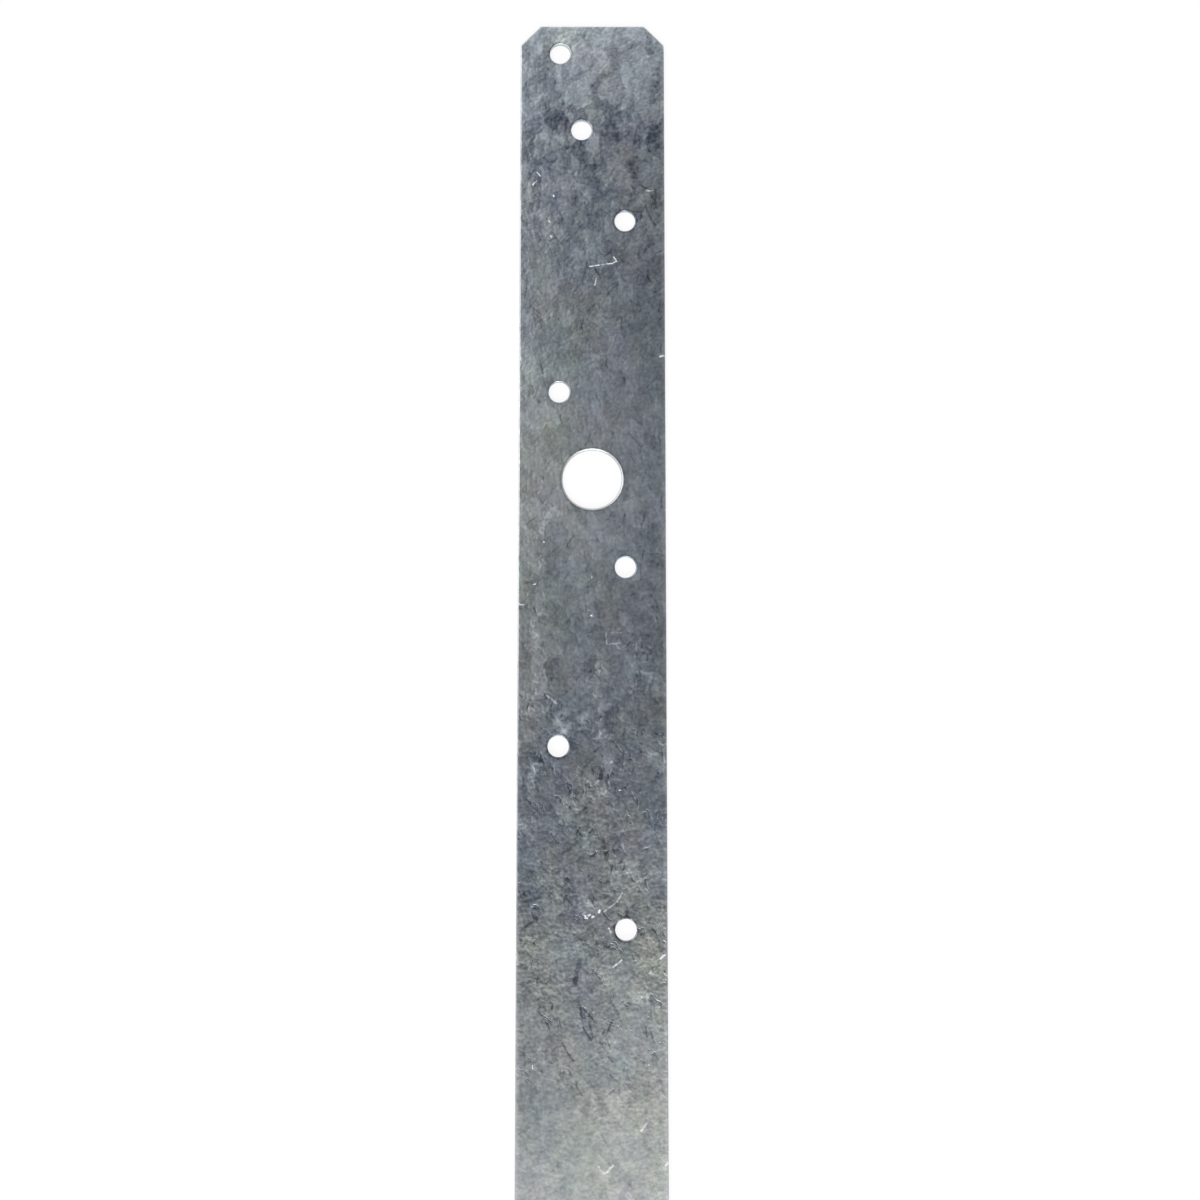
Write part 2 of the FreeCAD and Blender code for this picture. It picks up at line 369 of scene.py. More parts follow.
# zinc coat of both faces: all lengths in mm; a zone lists the places along the strap where a trait starts
# to fade in, is full, is still full and has faded out
zincCoat = {
    "coolGrey": "99A1AC",
    "warmGrey": "A4A8A6",
    "dullBlue": (-0.04, 0.0, 0.19),   # change of colour for each unit of tone lost: dull zinc is bluer
    "rubbedZinc": "DDE0E3",
    "brightZinc": "EEF0F2",
    "backShift": (70.0, 30.0, 0.0),   # the back face takes its pattern from elsewhere
    "wobblePerMm": 0.45,              # pace of the noise that bends the other patterns
    "patchBend": 3.0,                 # how far it bends crystals and specks
    "creaseBend": 1.6,                # creases and cracks
    "raggedBend": 0.6,                # and the outlines of all that is small
    "driftSize": (13.0, 34.0),        # across and along: slow change between the two greys
    "tintSize": 9.0,                  # faint tints of oxide
    "tintAmount": 0.14,
    "slowSize": (17.0, 40.0),         # across and along: slow change of tone
    "slowShift": (5.3, 2.1, 0.0),     # keeps it apart from the change of grey
    "slowTone": 0.30,
    "sideZone": (40.0, 105.0, 165.0, 215.0),    # painted light: here the left side is lighter than the right
    "sideTone": 0.19,
    "otherSideZone": (-30.0, -5.0, 60.0, 92.0),     # painted light: and here the right side is lighter
    "otherSideTone": -0.16,
    "paleMiddle": (76.0, 122.0, 143.0, 172.0),      # paler round the tooling hole
    "paleMiddleTone": 0.36,
    "dullBand": (-26.0, -2.0, 22.0, 90.0),          # duller between there and the pale end
    "dullBandTone": -0.12,
    "sideWarmth": 0.16,               # the left side of the pale middle is warmer
    "warmthLimits": (0.40, 0.82),     # pattern value that is all cool grey and all warm grey
    "paleEnd": (-200.0, -60.0, -10.0, 38.0),        # paler and calmer towards the other end
    "paleEndTone": 0.04,
    "warmEnd": (-200.0, -60.0, -25.0, 85.0),        # and warmer, from further up
    "warmEndWarmth": 0.34,
    "hammeredEnd": (172.0, 204.0, 300.0, 400.0),    # the end with the hammered look
    "hammeredSize": (3.9, 6.3),       # across and along: pale islands with clear borders
    "hammeredLean": -28.0,            # degrees
    "hammeredLimits": (0.46, 0.54),   # pattern value where an island starts and where it is full
    "hammeredTone": (0.08, 0.46),     # away from that end and on it
    "hammeredCool": -0.07,
    "endPale": (207.0, 223.0, 300.0, 400.0),        # paler still at the very end
    "endPaleTone": 0.50,
    "crystalSize": (2.7, 4.8),        # across and along
    "crystalLean": 22.0,              # degrees
    "crystalTone": (0.34, 0.44),      # with the patches of scratches, and more on the hammered end
    "mottleSize": 2.4,
    "mottleTone": (0.84, 0.24, -0.20),   # everywhere, more on the hammered end, less on the pale end
    "mottleRelief": (0.085, 0.05, -0.05),   # everywhere, more in scratched patches, less on the pale end
    "rubShift": (0.34, -0.22, 0.0),   # painted light and shade: the mottle is lit on one flank and shaded on the other, as relief lit from one side
    "rubTone": (0.65, -0.45),           # everywhere, less on the pale end
    "grainSize": 0.75,
    "grainTone": (0.60, 0.22, -0.26),    # as the mottle
    "grainRelief": (0.03, -0.010),    # everywhere, less on the pale end
    "creaseSize": (1.2, 3.6),         # across and along: soft creases that run along the sheet
    "creaseLean": 12.0,               # degrees
    "creaseZone": (80.0, 110.0, 185.0, 205.0),
    "creaseTone": (0.15, 0.62),
    "creaseRelief": 0.03,
    "cracks": (                       # thin lines, most of them dark, among the creases
        {"cell": 4.2, "turn": 0.9, "width": 0.26, "length": 2.6, "tone": (-0.60, 0.16)},
        {"cell": 2.9, "turn": 1.2, "width": 0.24, "length": 1.6, "tone": (-0.46, 0.16)},
    ),
    "crackShare": (0.30, 1.0),        # away from the creases and among them
    "clusterSize": 8.0,               # patches with many scratches and patches with few
    "clusterLimits": (0.42, 0.66),    # pattern value of the fewest and of the most
    "clusterLevel": (0.12, 1.9),      # strength of the scratches there
    "clusterTone": 0.07,
    "calmZone": (90.0, 112.0, 300.0, 400.0),        # fewer scratches from the tooling hole upwards
    "calmLevel": 0.28,
    "strokes": (                      # short scratches that go light or dark
        {"cell": 1.1, "turn": 0.9, "width": 0.30, "length": 0.6, "tone": (-0.12, 0.12)},
        {"cell": 2.6, "turn": 0.8, "width": 0.30, "length": 1.3, "tone": (-0.36, 0.28)},
        {"cell": 1.9, "turn": 3.1, "width": 0.32, "length": 0.8, "tone": (-0.24, 0.26)},
    ),
    "strokeRelief": 0.012,
    "strokeRough": 0.25,
    "flakeSize": (2.6, 4.6),          # across and along: ragged dark flakes
    "flakeLean": 20.0,                # degrees
    "flakeLimits": (0.58, 0.66),      # pattern value where a flake starts and where it is full
    "flakeTone": -0.40,
    "flakeRelief": -0.03,
    "flakeZone": (-8.0, 12.0, 66.0, 90.0),
    "wornLimits": (0.32, 0.5),        # grain value where a drawn mark is most worn and where it is whole
    "wornLeast": 0.25,                # what is left of it there
    "darkMarkTone": -0.65,
    "leastTone": 0.3,                 # the traits together take the tone no lower
    "leastBlue": -0.2,                # tone gained past this turns the colour no warmer
    "speckCell": 6.0,
    "speckRadius": 0.28,
    "speckShare": 0.03,
    "wearWidth": (0.0, 1.2),          # from the outline: rubbed bright zinc and a painted highlight up to here, untouched from there on
    "wearRagged": 0.7,
    "wearShare": 0.34,
    "grimeWidth": (0.0, 0.32),        # from a hole's rolled edge: painted shade up to here, none from there on
    "grimeRagged": 0.5,
    "grimeTone": -0.34,
    "roughness": (0.26, 0.36),
    "brightRough": 0.55,              # bright nicks are rougher by this
}


def zoneAlong(node, along, limits):
    # 0 outside the limits and 1 between the inner two, with straight ramps
    rise = node("ShaderNodeMapRange", {"Value": along, "From Min": limits[0], "From Max": limits[1]})
    fall = node("ShaderNodeMapRange", {"Value": along, "From Min": limits[3], "From Max": limits[2]})
    return node("ShaderNodeMath", {0: rise, 1: fall}, operation="MULTIPLY")


def strokeLayer(node, place, layer):
    # short lines, one in each cell of a random pattern; the cell's random colour gives its turn and tone
    scaled = node("ShaderNodeVectorMath", {0: place, "Scale": 1 / layer["cell"]}, operation="SCALE")
    cell = node("ShaderNodeTexVoronoi", {"Vector": scaled, "Scale": 1.0}, voronoi_dimensions="2D")
    chance = node("ShaderNodeSeparateColor", {0: cell.outputs["Color"]})
    offset = node("ShaderNodeVectorMath", {0: scaled, 1: cell.outputs["Position"]}, operation="SUBTRACT")
    turn = node("ShaderNodeMapRange", {
        "Value": chance.outputs[0], "To Min": -layer["turn"], "To Max": layer["turn"]})
    turned = node("ShaderNodeVectorRotate", {"Vector": offset, "Angle": turn}, rotation_type="Z_AXIS")
    parts = node("ShaderNodeSeparateXYZ", {0: turned})
    width, length = layer["width"] / layer["cell"], layer["length"] / layer["cell"]
    across = node("ShaderNodeMath", {0: parts.outputs["X"]}, operation="ABSOLUTE")
    across = node("ShaderNodeMapRange", {"Value": across, "From Max": width, "To Min": 1.0, "To Max": 0.0},
                  interpolation_type="SMOOTHSTEP")
    along = node("ShaderNodeMath", {0: parts.outputs["Y"]}, operation="ABSOLUTE")
    along = node("ShaderNodeMapRange", {
        "Value": along, "From Min": fullShare * length, "From Max": length, "To Min": 1.0, "To Max": 0.0},
        interpolation_type="SMOOTHSTEP")
    tone = node("ShaderNodeMapRange", {
        "Value": chance.outputs[1], "To Min": layer["tone"][0], "To Max": layer["tone"][1]})
    shape = node("ShaderNodeMath", {0: across, 1: along}, operation="MULTIPLY")
    return node("ShaderNodeMath", {0: shape, 1: tone}, operation="MULTIPLY")


def strokeLayers(node, place, layers):
    total = 0.0
    for layer in layers:
        total = node("ShaderNodeMath", {0: strokeLayer(node, place, layer), 1: total}, operation="ADD")
    return total


def markMask(node, place, marks):
    # strength of the drawn marks, 0 elsewhere: the distance to each mark's line against its half width
    mask = None
    for x0, y0, x1, y1, halfMark, strength in marks:
        start, way = Vector((x0, y0, 0)), Vector((x1 - x0, y1 - y0, 0))
        fromStart = node("ShaderNodeVectorMath", {0: place, 1: start}, operation="SUBTRACT")
        share = node("ShaderNodeVectorMath", {0: fromStart, 1: way / way.length_squared},
                     operation="DOT_PRODUCT")
        share = node("ShaderNodeClamp", {0: share.outputs["Value"]})
        nearest = node("ShaderNodeVectorMath", {0: way, "Scale": share}, operation="SCALE")
        distance = node("ShaderNodeVectorMath", {0: fromStart, 1: nearest}, operation="DISTANCE")
        part = node("ShaderNodeMapRange", {
            "Value": distance.outputs["Value"], "From Min": fullShare * halfMark, "From Max": halfMark,
            "To Min": strength, "To Max": 0.0}, interpolation_type="SMOOTHSTEP")
        mask = part if mask is None else node("ShaderNodeMath", {0: mask, 1: part}, operation="MAXIMUM")
    return mask


# handling marks on the front face: start and end on the strap and half width, all in mm, and strength
brightMarks = (
    (-0.6, 173.9, 1.6, 174.2, 0.20, 0.9), (1.4, 174.3, 4.4, 174.6, 0.16, 1.0),
    (4.4, 174.6, 5.4, 175.1, 0.22, 0.8), (5.4, 175.1, 4.7, 176.0, 0.20, 0.9),
    (0.9, 171.2, 0.6, 169.8, 0.18, 0.7), (-12.1, 195.1, -11.5, 194.3, 0.22, 0.9),
    (-12.3, 193.0, -13.0, 192.3, 0.24, 1.0), (11.9, 191.0, 13.2, 191.0, 0.22, 0.5),
    (-8.5, 189.9, -8.4, 189.6, 0.24, 1.0), (-9.5, 184.1, -9.3, 183.9, 0.26, 0.8),
    (-9.0, 180.8, -8.9, 180.5, 0.24, 0.9), (-15.8, 154.9, -15.6, 153.1, 0.3, 0.8),
    (14.7, 153.8, 15.6, 154.0, 0.3, 0.8), (-8.6, 121.3, -7.0, 119.5, 1.2, 0.12),
    (-10.8, 115.8, -9.4, 119.0, 1.1, 0.12), (1.2, 153.8, 2.4, 154.2, 0.9, 0.12),
    (-10.4, 113.5, -10.3, 113.3, 0.24, 1.0), (-15.6, 100.0, -14.6, 99.8, 0.2, 0.6),
    (2.9, 94.0, 3.2, 91.6, 0.26, 0.24), (2.8, 93.9, 6.4, 93.9, 0.2, 0.14),
    (3.2, 91.4, 6.4, 91.8, 0.22, 0.2), (-1.8, 93.5, -0.1, 93.6, 0.2, 0.14),
    (9.7, 85.7, 12.8, 85.1, 0.5, 0.14), (12.8, 85.4, 11.7, 81.8, 0.5, 0.14),
    (-9.6, 80.7, -7.6, 78.9, 0.32, 0.35), (-7.0, 76.0, -6.0, 77.0, 1.4, 0.14),
    (-5.8, 73.0, -4.6, 74.4, 1.3, 0.13), (-2.4, 75.6, -1.1, 76.6, 1.1, 0.14),
    (1.2, 72.0, 2.4, 73.2, 0.9, 0.14), (6.4, 39.4, 5.2, 37.6, 0.22, 0.35),
    (5.2, 37.6, 2.5, 35.5, 0.22, 0.35), (-1.9, 35.0, -1.3, 34.6, 0.28, 1.0),
    (-1.5, 34.3, -0.9, 34.2, 0.25, 0.9), (-0.6, 34.7, -0.3, 34.9, 0.24, 0.8),
    (0.0, 34.3, 0.4, 34.5, 0.28, 0.9), (1.5, 35.4, 1.6, 35.7, 0.32, 1.0),
    (3.5, 32.1, 3.9, 31.4, 0.25, 0.6), (4.4, 24.1, 6.2, 25.5, 0.26, 0.7),
    (14.3, 25.9, 15.4, 26.7, 0.3, 0.8), (10.0, -9.0, 11.4, -7.5, 0.24, 0.5),
    (1.4, -16.1, 2.7, -17.6, 0.3, 0.4), (2.7, -17.6, 4.4, -15.8, 0.28, 0.5),
    (15.2, -15.8, 15.7, -15.2, 0.3, 0.9),
)
darkMarks = (
    (11.7, 187.5, 12.3, 185.5, 0.34, 0.7), (12.3, 185.5, 13.6, 183.3, 0.34, 0.7),
    (4.7, 196.1, 4.1, 194.3, 0.3, 0.7), (-1.6, 140.2, 0.1, 134.6, 0.22, 0.6),
    (7.5, 137.5, 10.5, 134.1, 0.26, 0.6), (-15.6, 99.4, -14.8, 98.9, 0.25, 0.7),
    (4.0, 92.8, 5.9, 92.9, 0.9, 0.2), (9.2, 86.0, 9.6, 84.6, 0.35, 0.6),
    (-7.7, 77.8, -6.6, 79.3, 0.3, 0.5), (0.5, 68.8, 1.9, 69.8, 0.4, 0.7),
    (2.0, 65.2, 1.8, 61.4, 0.7, 0.9), (-3.4, 55.3, -1.3, 57.0, 0.45, 0.6),
    (2.3, 50.8, 2.6, 48.4, 0.5, 0.6), (2.7, 47.6, 3.1, 45.8, 0.4, 0.6),
    (-14.4, 37.6, -10.9, 38.4, 0.4, 0.5), (-5.5, 38.6, -4.2, 37.0, 0.45, 0.7),
    (-13.4, 32.9, -12.1, 33.5, 0.4, 0.6), (-4.0, 29.2, -2.1, 29.8, 0.4, 0.7),
    (-2.5, 25.5, -3.1, 23.3, 0.9, 0.8), (-3.1, 23.3, -3.6, 20.8, 0.7, 0.8),
    (-2.7, 17.0, -1.9, 12.9, 0.4, 0.5), (4.5, 16.2, 5.4, 14.8, 0.5, 0.7),
    (4.3, 13.4, 3.2, 10.9, 0.36, 0.8), (-1.8, 11.9, -0.2, 9.2, 0.34, 0.8),
    (-0.5, 12.4, 0.3, 9.9, 0.3, 0.6), (-6.2, 8.7, -3.9, 5.1, 0.36, 0.8), (1.6, 8.9, 3.5, 6.7, 0.36, 0.6),
    (3.5, 5.9, 4.2, 5.1, 0.4, 0.7), (14.0, 1.5, 14.6, 0.3, 0.5, 0.6), (-3.3, 0.9, -2.9, -0.5, 0.35, 0.6),
    (-2.9, -0.5, -2.1, -1.7, 0.3, 0.6), (3.5, -1.5, 4.7, -0.7, 0.3, 0.5),
    (2.1, -9.7, 3.3, -11.9, 0.3, 0.5), (10.7, -11.5, 11.9, -12.7, 0.6, 0.3),
)


def zincCoatedSteel(coat):
    # hot-dip galvanised sheet dulled by handling: soft blurred reflections, cool and warm greys in slow
    # patches, fine grain, small crystals, creases with thin cracks, many short scratches that go light or
    # dark, ragged dark flakes, and edges that are rubbed bright; it also has painted light and shade: a
    # bright band with a painted highlight on the edges, one side lighter, lit and shaded flanks on the
    # mottle and shade round the holes
    material, node = newMaterial("galvanisedSheet")
    where = node("ShaderNodeTexCoord")
    facing = node("ShaderNodeSeparateXYZ", {0: where.outputs["Normal"]})
    isBack = node("ShaderNodeMath", {0: facing.outputs["Z"], 1: -0.5}, operation="LESS_THAN")
    onStrap = node("ShaderNodeVectorMath", {0: where.outputs["Object"], 1: (1 / mm, 1 / mm, 0.0)},
                   operation="MULTIPLY")
    across = node("ShaderNodeSeparateXYZ", {0: onStrap}).outputs["X"]
    place = node("ShaderNodeVectorMath", {0: isBack, 1: coat["backShift"], 2: onStrap},
                 operation="MULTIPLY_ADD")
    along = node("ShaderNodeSeparateXYZ", {0: place}).outputs["Y"]
    wobble = node("ShaderNodeTexNoise", {
        "Vector": place, "Scale": coat["wobblePerMm"], "Detail": 4.0, "Roughness": 0.65})
    wobble = node("ShaderNodeVectorMath", {0: wobble.outputs["Color"], 1: (0.5, 0.5, 0.5)},
                  operation="SUBTRACT")
    bent, creaseBent, ragged = (
        node("ShaderNodeVectorMath", {0: wobble, 1: (bend, bend, 0.0), 2: place}, operation="MULTIPLY_ADD")
        for bend in (coat["patchBend"], coat["creaseBend"], coat["raggedBend"]))

    # slow change of grey and of tone, and the patches of the hammered end
    driftPlace = node("ShaderNodeMapping", {
        "Vector": place, "Scale": (1 / coat["driftSize"][0], 1 / coat["driftSize"][1], 1.0)})
    drift = node("ShaderNodeTexNoise", {"Vector": driftPlace, "Scale": 1.0, "Detail": 4.0, "Roughness": 0.6})
    tint = node("ShaderNodeTexNoise", {"Vector": place, "Scale": 1 / coat["tintSize"], "Detail": 3.0})
    slowPlace = node("ShaderNodeMapping", {
        "Vector": place, "Location": coat["slowShift"],
        "Scale": (1 / coat["slowSize"][0], 1 / coat["slowSize"][1], 1.0)})
    slow = node("ShaderNodeTexNoise", {"Vector": slowPlace, "Scale": 1.0, "Detail": 3.0, "Roughness": 0.55})
    hammeredPlace = node("ShaderNodeMapping", {
        "Vector": ragged, "Rotation": (0.0, 0.0, math.radians(coat["hammeredLean"])),
        "Scale": (*coat["hammeredSize"], 1.0)}, vector_type="TEXTURE")
    hammered = node("ShaderNodeTexNoise", {
        "Vector": hammeredPlace, "Scale": 1.0, "Detail": 2.0, "Roughness": 0.5, "Distortion": 0.7})
    hammered = node("ShaderNodeMapRange", {
        "Value": hammered, "From Min": coat["hammeredLimits"][0], "From Max": coat["hammeredLimits"][1]},
        interpolation_type="SMOOTHSTEP")
    hammeredEnd = zoneAlong(node, along, coat["hammeredEnd"])
    hammeredTone = node("ShaderNodeMapRange", {
        "Value": hammeredEnd,
        "To Min": coat["hammeredTone"][0], "To Max": coat["hammeredTone"][1]})

    # patches with many scratches and patches with few; the upper half and the pale end are calmer
    paleEnd = zoneAlong(node, along, coat["paleEnd"])
    busy = node("ShaderNodeMapRange", {
        "Value": zoneAlong(node, along, coat["calmZone"]), "To Min": 1.0, "To Max": coat["calmLevel"]})
    busyEnd = node("ShaderNodeMapRange", {"Value": paleEnd, "To Min": 1.0, "To Max": coat["calmLevel"]})
    busy = node("ShaderNodeMath", {0: busy, 1: busyEnd}, operation="MULTIPLY")
    cluster = node("ShaderNodeTexNoise", {"Vector": place, "Scale": 1 / coat["clusterSize"], "Detail": 2.0})
    cluster = node("ShaderNodeMapRange", {
        "Value": cluster, "From Min": coat["clusterLimits"][0], "From Max": coat["clusterLimits"][1],
        "To Min": coat["clusterLevel"][0], "To Max": coat["clusterLevel"][1]})
    cluster = node("ShaderNodeMath", {0: cluster, 1: busy}, operation="MULTIPLY")

    # crystals, mottle, grain and creases
    crystalPlace = node("ShaderNodeMapping", {
        "Vector": bent, "Rotation": (0.0, 0.0, math.radians(coat["crystalLean"])),
        "Scale": (*coat["crystalSize"], 1.0)}, vector_type="TEXTURE")
    crystal = node("ShaderNodeTexVoronoi", {
        "Vector": crystalPlace, "Scale": 1.0, "Smoothness": 0.2}, feature="SMOOTH_F1")
    crystalChance = node("ShaderNodeSeparateColor", {0: crystal.outputs["Color"]})
    mottle = node("ShaderNodeTexNoise", {
        "Vector": ragged, "Scale": 1 / coat["mottleSize"],
        "Detail": 2.0, "Roughness": 0.6, "Distortion": 0.15})
    # painted light and shade on the mottle: the same noise, shifted towards the light and taken away, makes
    # one flank lighter and the other darker
    beside = node("ShaderNodeVectorMath", {0: ragged, 1: coat["rubShift"]}, operation="ADD")
    beside = node("ShaderNodeTexNoise", {
        "Vector": beside, "Scale": 1 / coat["mottleSize"],
        "Detail": 2.0, "Roughness": 0.6, "Distortion": 0.15})
    paintedReliefShade = node("ShaderNodeMath", {0: mottle, 1: beside}, operation="SUBTRACT")
    grain = node("ShaderNodeTexNoise", {"Vector": place, "Scale": 1 / coat["grainSize"], "Detail": 0.0})
    creasePlace = node("ShaderNodeMapping", {
        "Vector": creaseBent, "Rotation": (0.0, 0.0, math.radians(coat["creaseLean"])),
        "Scale": (*coat["creaseSize"], 1.0)}, vector_type="TEXTURE")
    mottleTone, grainTone = coat["mottleTone"][0], coat["grainTone"][0]
    for zone, number in ((hammeredEnd, 1), (paleEnd, 2)):
        mottleTone = node("ShaderNodeMath", {0: zone, 1: coat["mottleTone"][number], 2: mottleTone},
                          operation="MULTIPLY_ADD")
        grainTone = node("ShaderNodeMath", {0: zone, 1: coat["grainTone"][number], 2: grainTone},
                         operation="MULTIPLY_ADD")
    crease = node("ShaderNodeTexNoise", {
        "Vector": creasePlace, "Scale": 1.0, "Detail": 1.0, "Distortion": 0.4})
    creased = zoneAlong(node, along, coat["creaseZone"])
    creaseTone, crackShare = (
        node("ShaderNodeMapRange", {"Value": creased, "To Min": ends[0], "To Max": ends[1]})
        for ends in (coat["creaseTone"], coat["crackShare"]))

    # scratches, cracks and dark flakes
    strokes = strokeLayers(node, ragged, coat["strokes"])
    strokes = node("ShaderNodeMath", {0: strokes, 1: cluster}, operation="MULTIPLY")
    cracks = strokeLayers(node, creaseBent, coat["cracks"])
    flakePlace = node("ShaderNodeMapping", {
        "Vector": ragged, "Rotation": (0.0, 0.0, math.radians(coat["flakeLean"])),
        "Scale": (*coat["flakeSize"], 1.0)}, vector_type="TEXTURE")
    flake = node("ShaderNodeTexNoise", {
        "Vector": flakePlace, "Scale": 1.0, "Detail": 4.0, "Roughness": 0.6, "Distortion": 0.8})
    flake = node("ShaderNodeMapRange", {
        "Value": flake, "From Min": coat["flakeLimits"][0], "From Max": coat["flakeLimits"][1]},
        interpolation_type="SMOOTHSTEP")
    flakeZone = zoneAlong(node, along, coat["flakeZone"])
    flake = node("ShaderNodeMath", {0: flake, 1: flakeZone}, operation="MULTIPLY")
    worn = node("ShaderNodeMapRange", {
        "Value": grain, "From Min": coat["wornLimits"][0], "From Max": coat["wornLimits"][1],
        "To Min": coat["wornLeast"]})
    dark = node("ShaderNodeMath", {0: markMask(node, ragged, darkMarks), 1: worn}, operation="MULTIPLY")

    # tone: 1 is the plain grey, and every trait adds to it or takes from it
    # painted light: one side of the strap lighter than the other in the side zones, by how far across the
    # strap a point lies
    leftness = node("ShaderNodeMath", {0: across, 1: -1 / halfWidth}, operation="MULTIPLY")
    sideTone = node("ShaderNodeMath", {0: zoneAlong(node, along, coat["sideZone"]), 1: coat["sideTone"]},
                    operation="MULTIPLY")
    sideTone = node("ShaderNodeMath", {
        0: zoneAlong(node, along, coat["otherSideZone"]), 1: coat["otherSideTone"], 2: sideTone},
        operation="MULTIPLY_ADD")
    crystalTone = node("ShaderNodeMath", {0: cluster, 1: coat["crystalTone"][0]}, operation="MULTIPLY")
    crystalTone = node("ShaderNodeMath", {0: hammeredEnd, 1: coat["crystalTone"][1], 2: crystalTone},
                       operation="MULTIPLY_ADD")
    tone = node("ShaderNodeMath", {0: strokes, 1: 1.0}, operation="ADD")
    for source, amount in ((slow, coat["slowTone"]), (hammered, hammeredTone), (mottle, mottleTone),
                           (grain, grainTone), (crease, creaseTone), (crystalChance, crystalTone),
                           (cluster, coat["clusterTone"])):
        centred = node("ShaderNodeMath", {0: source, 1: 0.5}, operation="SUBTRACT")
        tone = node("ShaderNodeMath", {0: centred, 1: amount, 2: tone}, operation="MULTIPLY_ADD")
    paleMiddle = zoneAlong(node, along, coat["paleMiddle"])
    # painted shade: a dark ring round each hole's rolled edge, made ragged by the wobble
    fromHole = node("ShaderNodeAttribute", attribute_name="grimeDistance").outputs["Fac"]
    fromHole = node("ShaderNodeMath", {0: wobble, 1: coat["grimeRagged"], 2: fromHole},
                    operation="MULTIPLY_ADD")
    holeShade = node("ShaderNodeMapRange", {
        "Value": fromHole, "From Min": coat["grimeWidth"][1], "From Max": coat["grimeWidth"][0]},
        interpolation_type="SMOOTHSTEP")
    endPale = zoneAlong(node, along, coat["endPale"])
    dullBand = zoneAlong(node, along, coat["dullBand"])
    rubTone = node("ShaderNodeMath", {0: paleEnd, 1: coat["rubTone"][1], 2: coat["rubTone"][0]},
                   operation="MULTIPLY_ADD")
    # among these, painted light and shade: the lit and shaded flanks of the mottle, the lighter side and the
    # shade round the holes
    for source, amount in ((paintedReliefShade, rubTone), (cracks, crackShare), (leftness, sideTone),
                           (paleMiddle, coat["paleMiddleTone"]), (dullBand, coat["dullBandTone"]),
                           (paleEnd, coat["paleEndTone"]), (endPale, coat["endPaleTone"]),
                           (flake, coat["flakeTone"]), (dark, coat["darkMarkTone"]),
                           (holeShade, coat["grimeTone"])):
        tone = node("ShaderNodeMath", {0: source, 1: amount, 2: tone}, operation="MULTIPLY_ADD")
    tone = node("ShaderNodeMath", {0: tone, 1: coat["leastTone"]}, operation="MAXIMUM")

    # bright nicks, and edges rubbed down to bright zinc, a band that is also a painted highlight along the
    # outline
    speckPlace = node("ShaderNodeVectorMath", {0: bent, "Scale": 1 / coat["speckCell"]}, operation="SCALE")
    speck = node("ShaderNodeTexVoronoi", {"Vector": speckPlace, "Scale": 1.0}, voronoi_dimensions="2D")
    speckChance = node("ShaderNodeSeparateColor", {0: speck.outputs["Color"]})
    speckSize = coat["speckRadius"] / coat["speckCell"]
    speckShape = node("ShaderNodeMapRange", {
        "Value": speck.outputs["Distance"], "From Min": fullShare * speckSize, "From Max": speckSize,
        "To Min": 1.0, "To Max": 0.0}, interpolation_type="SMOOTHSTEP")
    speckThere = node("ShaderNodeMath", {0: speckChance, 1: 1 - coat["speckShare"]},
                      operation="GREATER_THAN")
    specks = node("ShaderNodeMath", {0: speckShape, 1: speckThere}, operation="MULTIPLY")
    bright = node("ShaderNodeMath", {0: markMask(node, ragged, brightMarks), 1: worn}, operation="MULTIPLY")
    bright = node("ShaderNodeMath", {0: specks, 1: bright}, operation="MAXIMUM")
    # rubbed bright zinc along the outline, which is also a painted highlight on the rolled edge
    fromEdge = node("ShaderNodeAttribute", attribute_name="wearDistance").outputs["Fac"]
    fromEdge = node("ShaderNodeMath", {0: wobble, 1: coat["wearRagged"], 2: fromEdge},
                    operation="MULTIPLY_ADD")
    wearAndSheen = node("ShaderNodeMapRange", {
        "Value": fromEdge, "From Min": coat["wearWidth"][1], "From Max": coat["wearWidth"][0],
        "To Max": coat["wearShare"]}, interpolation_type="SMOOTHSTEP")

    # colour: cool or warm grey, faint tints, bluer where it is dull, and bright where it is rubbed or
    # nicked; along the outline that brightness is partly a painted highlight
    warmSide = node("ShaderNodeMath", {0: leftness, 1: paleMiddle}, operation="MULTIPLY")
    warmEnd = zoneAlong(node, along, coat["warmEnd"])
    warmth = drift
    for source, amount in ((warmSide, coat["sideWarmth"]), (warmEnd, coat["warmEndWarmth"]),
                           (hammeredEnd, coat["hammeredCool"])):
        warmth = node("ShaderNodeMath", {0: source, 1: amount, 2: warmth}, operation="MULTIPLY_ADD")
    warmth = node("ShaderNodeMapRange", {
        "Value": warmth, "From Min": coat["warmthLimits"][0], "From Max": coat["warmthLimits"][1]},
        interpolation_type="SMOOTHSTEP")
    colour = node("ShaderNodeMix", {
        0: warmth, 6: linearColour(coat["coolGrey"]), 7: linearColour(coat["warmGrey"])},
        data_type="RGBA").outputs[2]
    strength = coat["tintAmount"]
    tint = node("ShaderNodeVectorMath", {
        0: tint.outputs["Color"], 1: [strength] * 3, 2: [1 - strength / 2] * 3}, operation="MULTIPLY_ADD")
    colour = node("ShaderNodeVectorMath", {0: colour, 1: tint}, operation="MULTIPLY")
    bluer = node("ShaderNodeMath", {0: 1.0, 1: tone}, operation="SUBTRACT")
    bluer = node("ShaderNodeMath", {0: bluer, 1: coat["leastBlue"]}, operation="MAXIMUM")
    bluer = node("ShaderNodeVectorMath", {0: bluer, 1: coat["dullBlue"], 2: (1.0, 1.0, 1.0)},
                 operation="MULTIPLY_ADD")
    colour = node("ShaderNodeVectorMath", {0: colour, 1: bluer}, operation="MULTIPLY")
    colour = node("ShaderNodeVectorMath", {0: colour, "Scale": tone}, operation="SCALE")
    for share, shade in ((wearAndSheen, coat["rubbedZinc"]), (bright, coat["brightZinc"])):
